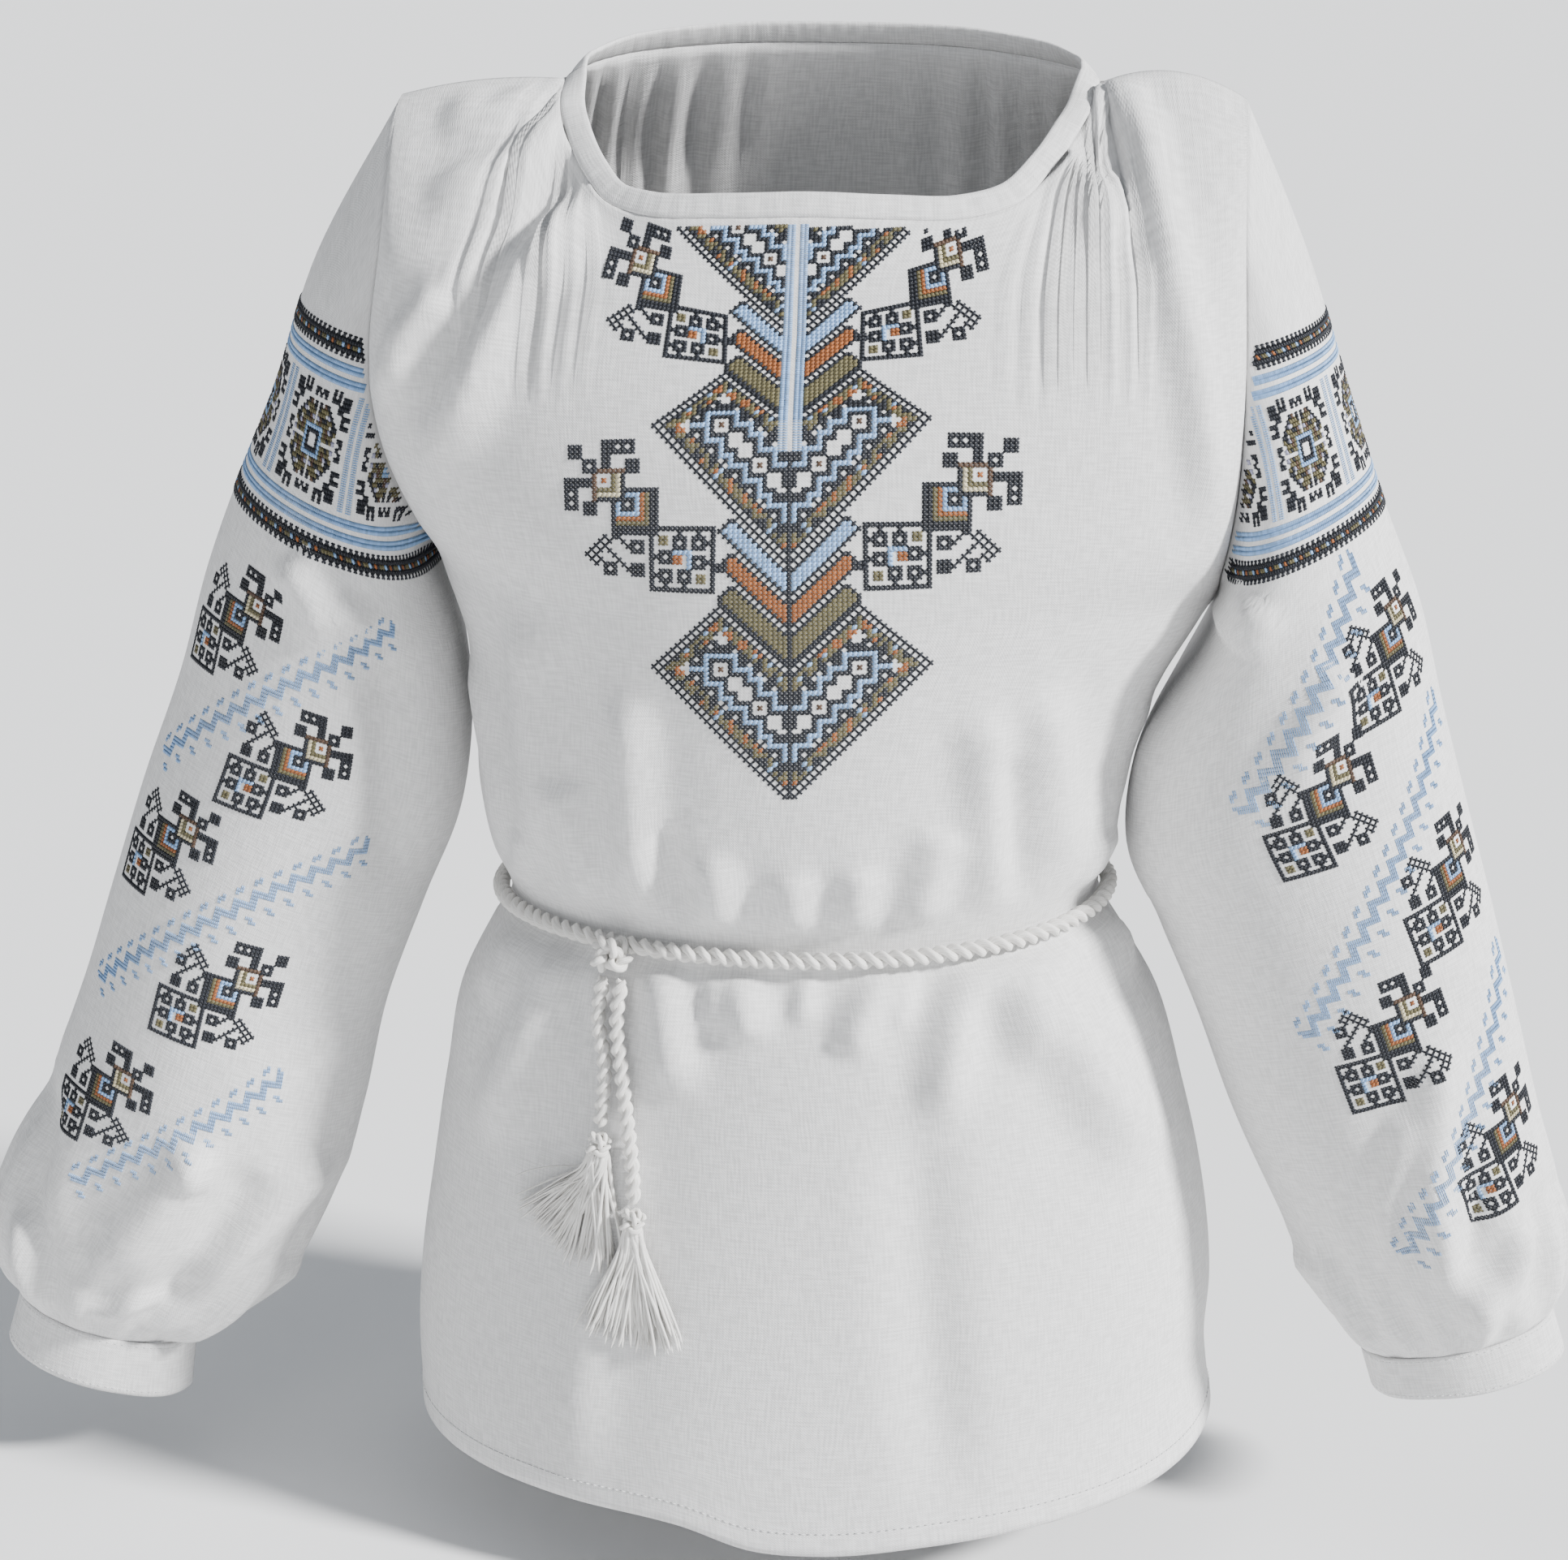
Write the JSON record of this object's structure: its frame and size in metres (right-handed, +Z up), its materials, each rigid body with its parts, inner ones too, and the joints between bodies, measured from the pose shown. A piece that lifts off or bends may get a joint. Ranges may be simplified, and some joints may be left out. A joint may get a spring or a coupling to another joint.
{
  "type": "embroidered folk blouse",
  "caption": "White long-sleeved folk blouse in its worn, hollow form, with cross-stitched chest and sleeves, a gathered neck and a tasselled rope belt.",
  "frame": {"origin": "middle of the neck, level with the shoulder tops, where the wearer's shoulders hold the blouse up", "axes": "+Z up, -Y the way the wearer faces, +X towards the wearer's left sleeve"},
  "size_m": [0.7459, 0.255, 0.6526],
  "materials": {
    "white_cloth": "matt plain-woven cotton and linen, cross-stitched in navy, light blue, rust and olive",
    "cotton_rope": "matt twisted cotton"
  },
  "bodies": {
    "root": {"front": "white_cloth", "back": "white_cloth", "sleeve_right": "white_cloth", "sleeve_left": "white_cloth", "cuff_right": "white_cloth", "cuff_left": "white_cloth", "neck_band": "white_cloth", "belt": "cotton_rope", "belt_knot": "cotton_rope", "rope_end_short": "cotton_rope", "rope_end_long": "cotton_rope", "tassel_short": "cotton_rope", "tassel_long": "cotton_rope"}
  },
  "joints": []
}
